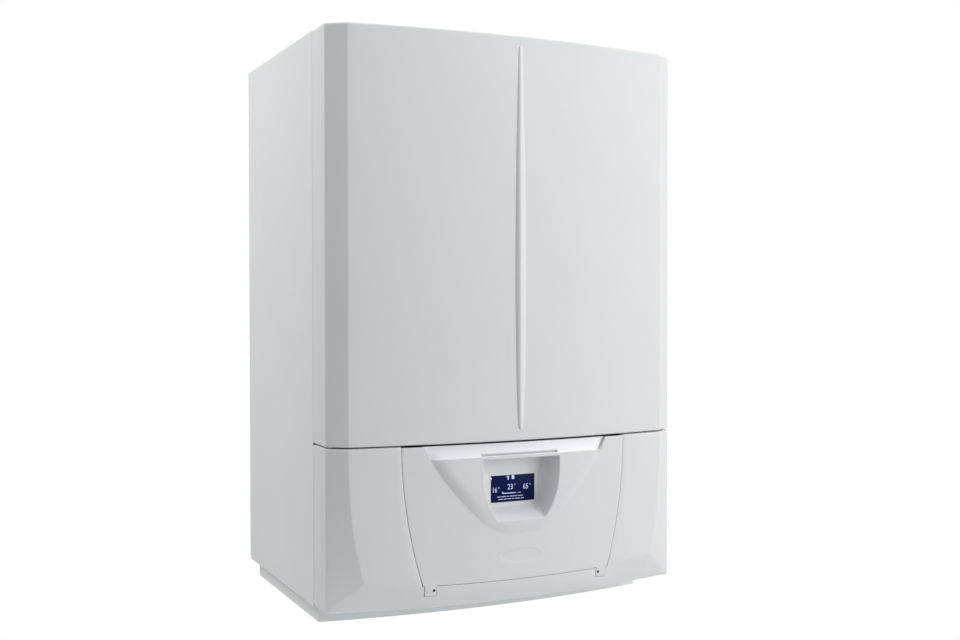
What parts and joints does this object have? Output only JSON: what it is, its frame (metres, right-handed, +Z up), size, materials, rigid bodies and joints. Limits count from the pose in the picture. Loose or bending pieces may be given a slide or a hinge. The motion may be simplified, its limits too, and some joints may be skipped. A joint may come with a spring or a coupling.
{
  "type": "combi boiler",
  "caption": "Wall-hung gas combi boiler: white casing with a bowed front, drop-down control flap round a small display, and burner, pump and hot-water store inside.",
  "frame": {"origin": "on the wall plane, on the centre line, level with the casing's lower edge", "axes": "+X to the right seen from the front, +Y into the wall, +Z up"},
  "size_m": [0.6, 0.4838, 0.998],
  "materials": {
    "casing_paint": "satin",
    "cover_plastic": "satin",
    "galvanised_sheet": "satin",
    "zinc_fastener": "satin",
    "stainless": "brushed",
    "insulation_foam": "matte",
    "vessel_red": "gloss",
    "cast_aluminium": "cast",
    "ceramic_white": "glazed",
    "black_plastic": "matte",
    "flue_white": "satin",
    "seal_rubber": "matte",
    "brass": "machined",
    "copper_pipe": "drawn",
    "cast_iron_black": "painted",
    "grey_plastic": "satin",
    "red_plastic": "satin",
    "blue_plastic": "satin",
    "circuit_green": "satin",
    "display_navy": "gloss",
    "control_white": "satin",
    "needle_red": "satin",
    "gauge_clear": "clear"
  },
  "bodies": {
    "boiler": {"air_intake": "black_plastic", "back_panel": "galvanised_sheet", "bottom_tray": "casing_paint", "burner": "stainless", "burner_door": "cast_aluminium", "cable_glands": "black_plastic", "condensate_trap": "grey_plastic", "connection_fittings": "brass", "control_box": "grey_plastic", "control_panel": "grey_plastic", "display_module": "display_navy", "diverter_actuator": "black_plastic", "diverter_valve": "brass", "electrodes": "ceramic_white", "expansion_vessel": "vessel_red", "fan_housing": "cast_aluminium", "fan_motor": "black_plastic", "filling_tap": "brass", "flap_hinge_pins": "zinc_fastener", "flue_collar": "flue_white", "flue_pipe": "flue_white", "flue_seal": "seal_rubber", "gas_pipes": "copper_pipe", "gas_valve": "cast_aluminium", "gauge_glass": "gauge_clear", "heat_exchanger": "cast_aluminium", "heating_pipes": "copper_pipe", "inner_brackets": "galvanised_sheet", "inner_shelves": "galvanised_sheet", "left_side_panel": "casing_paint", "lower_front_cover": "cover_plastic", "main_circuit_board": "circuit_green", "manifolds": "brass", "mixture_duct": "black_plastic", "plate_exchanger": "stainless", "pressure_gauge": "control_white", "pump_housing": "cast_iron_black", "pump_motor": "cast_iron_black", "right_side_panel": "casing_paint", "riser_pipes": "copper_pipe", "safety_valve": "brass", "screws_and_bolts": "zinc_fastener", "storage_tank": "stainless", "tank_jacket": "insulation_foam", "top_panel": "casing_paint", "wall_bracket": "galvanised_sheet", "water_pipes": "copper_pipe"},
    "flap": {"control_flap": "cover_plastic"},
    "upper_cover": {"upper_front_cover": "casing_paint"},
    "heating_control": {"heating_knob": "control_white"},
    "hot_water_control": {"hot_water_knob": "control_white"},
    "mode_key": {"mode_button": "control_white"},
    "info_key": {"info_button": "control_white"},
    "reset_key": {"reset_button": "control_white"},
    "needle": {"gauge_needle": "needle_red"},
    "fan_rotor": {"fan_wheel": "black_plastic"},
    "pump_rotor": {"pump_wheel": "black_plastic"},
    "diverter_stem": {"diverter_spindle": "brass"},
    "safety_knob": {"safety_valve_knob": "red_plastic"},
    "fill_knob": {"filling_tap_knob": "blue_plastic"}
  },
  "joints": [
    {"name": "flap_hinge", "type": "hinge", "parent": "boiler", "child": "flap", "pos_m": [0, -0.471, 0.025], "axis": [1, 0, 0], "range_deg": [0, 90]},
    {"name": "upper_cover_pull", "type": "slide", "parent": "boiler", "child": "upper_cover", "axis": [0, -1, 0], "range_m": [0, 0.25]},
    {"name": "heating_knob_turn", "type": "hinge", "parent": "boiler", "child": "heating_control", "pos_m": [-0.12, -0.4468, 0.096], "axis": [0, 1, 0], "range_deg": [-135, 135]},
    {"name": "hot_water_knob_turn", "type": "hinge", "parent": "boiler", "child": "hot_water_control", "pos_m": [0.12, -0.4468, 0.096], "axis": [0, 1, 0], "range_deg": [-135, 135]},
    {"name": "mode_button_press", "type": "slide", "parent": "boiler", "child": "mode_key", "axis": [0, 1, 0], "range_m": [0, 0.0015], "stiffness_N_per_m": 300},
    {"name": "info_button_press", "type": "slide", "parent": "boiler", "child": "info_key", "axis": [0, 1, 0], "range_m": [0, 0.0015], "stiffness_N_per_m": 300},
    {"name": "reset_button_press", "type": "slide", "parent": "boiler", "child": "reset_key", "axis": [0, 1, 0], "range_m": [0, 0.0015], "stiffness_N_per_m": 300},
    {"name": "gauge_needle_turn", "type": "hinge", "parent": "boiler", "child": "needle", "pos_m": [-0.155, -0.443, 0.18], "axis": [0, 1, 0], "range_deg": [0, 270]},
    {"name": "fan_spin", "type": "hinge", "parent": "boiler", "child": "fan_rotor", "pos_m": [0.135, -0.3, 0.395], "axis": [0, -1, 0], "continuous": true},
    {"name": "pump_spin", "type": "hinge", "parent": "boiler", "child": "pump_rotor", "pos_m": [0.165, -0.205, 0.1], "axis": [0, -1, 0], "continuous": true},
    {"name": "diverter_stroke", "type": "slide", "parent": "boiler", "child": "diverter_stem", "axis": [0, 0, -1], "range_m": [0, 0.006]},
    {"name": "safety_knob_turn", "type": "hinge", "parent": "boiler", "child": "safety_knob", "pos_m": [-0.112, -0.2263, 0.1], "axis": [0, -1, 0], "range_deg": [0, 90]},
    {"name": "fill_knob_turn", "type": "hinge", "parent": "boiler", "child": "fill_knob", "pos_m": [0.11, -0.17, 0.025], "axis": [0, 0, 1], "range_deg": [0, 360]}
  ]
}
